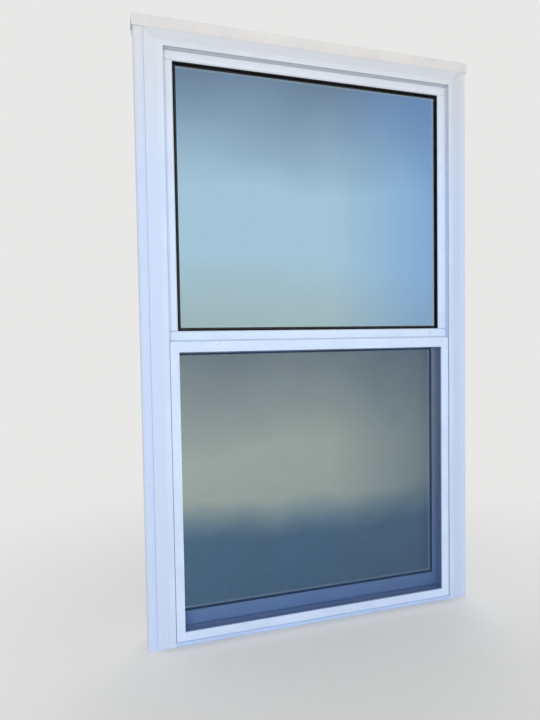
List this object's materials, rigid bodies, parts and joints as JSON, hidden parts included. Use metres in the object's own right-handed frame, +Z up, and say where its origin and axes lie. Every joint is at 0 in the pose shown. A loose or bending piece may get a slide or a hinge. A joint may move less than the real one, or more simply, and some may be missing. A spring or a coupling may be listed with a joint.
{
  "type": "single-hung sash window",
  "caption": "White vinyl single-hung sash window with fixed upper light, lifting lower sash, insect screen, cam lock and head expander.",
  "frame": {"origin": "middle of the sill's underside, half way through the frame's depth", "axes": "+Z up the window, +X to the right seen from outside, -Y towards the weather side"},
  "size_m": [0.911, 0.09, 1.5195],
  "materials": {
    "frame_vinyl": "white vinyl, satin",
    "expander_vinyl": "white vinyl, satin",
    "bead_vinyl": "white vinyl, satin",
    "sash_vinyl": "white vinyl, satin",
    "sash_bead_vinyl": "white vinyl, satin",
    "upper_glass": "coated insulating glass",
    "sash_glass": "coated insulating glass",
    "spacer_bar": "dull",
    "black_gasket": "matt",
    "glazing_tape": "matt",
    "setting_block": "matt",
    "screen_frame": "white enamel on rolled aluminium",
    "screen_mesh": "charcoal glass-fibre mesh",
    "spline_vinyl": "matt",
    "corner_key": "nylon",
    "pull_tab": "white",
    "balance_tube": "white",
    "bright_steel": "zinc plated",
    "balance_shoe": "nylon",
    "travel_stop": "white",
    "pile": "grey woven pile",
    "bulb_seal": "soft",
    "lock_casting": "white enamel on die cast zinc",
    "latch_plastic": "white acetal"
  },
  "bodies": {
    "frame": {"frame_head": "frame_vinyl", "frame_sill": "frame_vinyl", "left_jamb": "frame_vinyl", "right_jamb": "frame_vinyl", "head_expander": "expander_vinyl", "meeting_rail": "frame_vinyl", "top_glazing_bead": "bead_vinyl", "bottom_glazing_bead": "bead_vinyl", "left_glazing_bead": "bead_vinyl", "right_glazing_bead": "bead_vinyl", "upper_outer_pane": "upper_glass", "upper_inner_pane": "upper_glass", "upper_spacer": "spacer_bar", "upper_gasket": "black_gasket", "upper_glazing_tape": "glazing_tape", "upper_setting_blocks": "setting_block", "screen_top_bar": "screen_frame", "screen_bottom_bar": "screen_frame", "screen_left_bar": "screen_frame", "screen_right_bar": "screen_frame", "screen_mesh": "screen_mesh", "screen_spline": "spline_vinyl", "screen_corner_keys": "corner_key", "screen_pull_tabs": "pull_tab", "left_balance_tube": "balance_tube", "right_balance_tube": "balance_tube", "balance_screws": "bright_steel", "travel_stops": "travel_stop", "left_pile_strip": "pile", "right_pile_strip": "pile", "lock_keeper": "lock_casting", "keeper_rivets": "bright_steel"},
    "sash": {"sash_top_rail": "sash_vinyl", "sash_bottom_rail": "sash_vinyl", "left_sash_stile": "sash_vinyl", "right_sash_stile": "sash_vinyl", "sash_outer_pane": "sash_glass", "sash_inner_pane": "sash_glass", "sash_spacer": "spacer_bar", "sash_glazing_tape": "black_gasket", "sash_top_bead": "sash_bead_vinyl", "sash_bottom_bead": "sash_bead_vinyl", "sash_left_bead": "sash_bead_vinyl", "sash_right_bead": "sash_bead_vinyl", "sash_setting_blocks": "setting_block", "bottom_bulb_seal": "bulb_seal", "left_balance_rod": "bright_steel", "right_balance_rod": "bright_steel", "left_balance_shoe": "balance_shoe", "right_balance_shoe": "balance_shoe", "pivot_bars": "bright_steel", "left_latch_housing": "latch_plastic", "right_latch_housing": "latch_plastic", "lock_base": "lock_casting", "lock_screws": "bright_steel"},
    "lock_lever": {"lock_lever": "lock_casting"},
    "left_latch": {"left_tilt_latch": "latch_plastic"},
    "right_latch": {"right_tilt_latch": "latch_plastic"}
  },
  "joints": [
    {"name": "sash_slide", "type": "slide", "parent": "frame", "child": "sash", "axis": [0, 0, 1], "range_m": [0, 0.65]},
    {"name": "lock_turn", "type": "hinge", "parent": "sash", "child": "lock_lever", "pos_m": [0, 0.02075, 0.77], "axis": [0, 0, 1], "range_deg": [0, 150]},
    {"name": "left_latch_slide", "type": "slide", "parent": "sash", "child": "left_latch", "axis": [1, 0, 0], "range_m": [0, 0.012], "stiffness_N_per_m": 300, "springref_m": -0.01},
    {"name": "right_latch_slide", "type": "slide", "parent": "sash", "child": "right_latch", "axis": [-1, 0, 0], "range_m": [0, 0.012], "stiffness_N_per_m": 300, "springref_m": -0.01}
  ]
}
